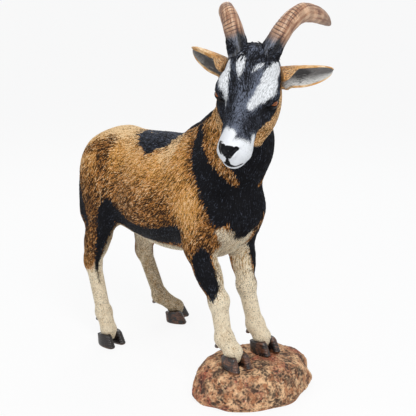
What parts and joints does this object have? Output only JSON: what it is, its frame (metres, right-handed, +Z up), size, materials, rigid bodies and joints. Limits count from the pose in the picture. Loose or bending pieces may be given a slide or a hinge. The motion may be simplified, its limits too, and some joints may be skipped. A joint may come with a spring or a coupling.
{
  "type": "goat garden statue",
  "caption": "Painted cast-resin statue of a horned goat that stands with its forefeet on a low rock and turns its head to its right.",
  "frame": {"origin": "floor level, under the middle of the whole statue's box", "axes": "+Z up, +X the way the goat's chest faces, +Y to the goat's left"},
  "size_m": [0.7614, 0.389, 0.9172],
  "materials": {
    "painted_coat": "brushed matt paint over carved resin",
    "painted_ear": "brushed matt paint",
    "painted_eye": "gloss lacquer",
    "painted_horn": "satin paint with a dark wash",
    "painted_hoof": "satin paint",
    "painted_rock": "rough speckled paint"
  },
  "bodies": {
    "root": {"trunk": "painted_coat", "neck": "painted_coat", "head": "painted_coat", "tail": "painted_coat", "thigh_right": "painted_coat", "hind_cannon_right": "painted_coat", "forearm_right": "painted_coat", "fore_cannon_right": "painted_coat", "ear_right": "painted_ear", "eye_right": "painted_eye", "horn_right": "painted_horn", "claw_hind_right_outer": "painted_hoof", "dewclaw_hind_right_outer": "painted_hoof", "claw_hind_right_inner": "painted_hoof", "dewclaw_hind_right_inner": "painted_hoof", "claw_fore_right_outer": "painted_hoof", "dewclaw_fore_right_outer": "painted_hoof", "claw_fore_right_inner": "painted_hoof", "dewclaw_fore_right_inner": "painted_hoof", "thigh_left": "painted_coat", "hind_cannon_left": "painted_coat", "forearm_left": "painted_coat", "fore_cannon_left": "painted_coat", "ear_left": "painted_ear", "eye_left": "painted_eye", "horn_left": "painted_horn", "claw_hind_left_outer": "painted_hoof", "dewclaw_hind_left_outer": "painted_hoof", "claw_hind_left_inner": "painted_hoof", "dewclaw_hind_left_inner": "painted_hoof", "claw_fore_left_outer": "painted_hoof", "dewclaw_fore_left_outer": "painted_hoof", "claw_fore_left_inner": "painted_hoof", "dewclaw_fore_left_inner": "painted_hoof", "rock": "painted_rock"}
  },
  "joints": []
}
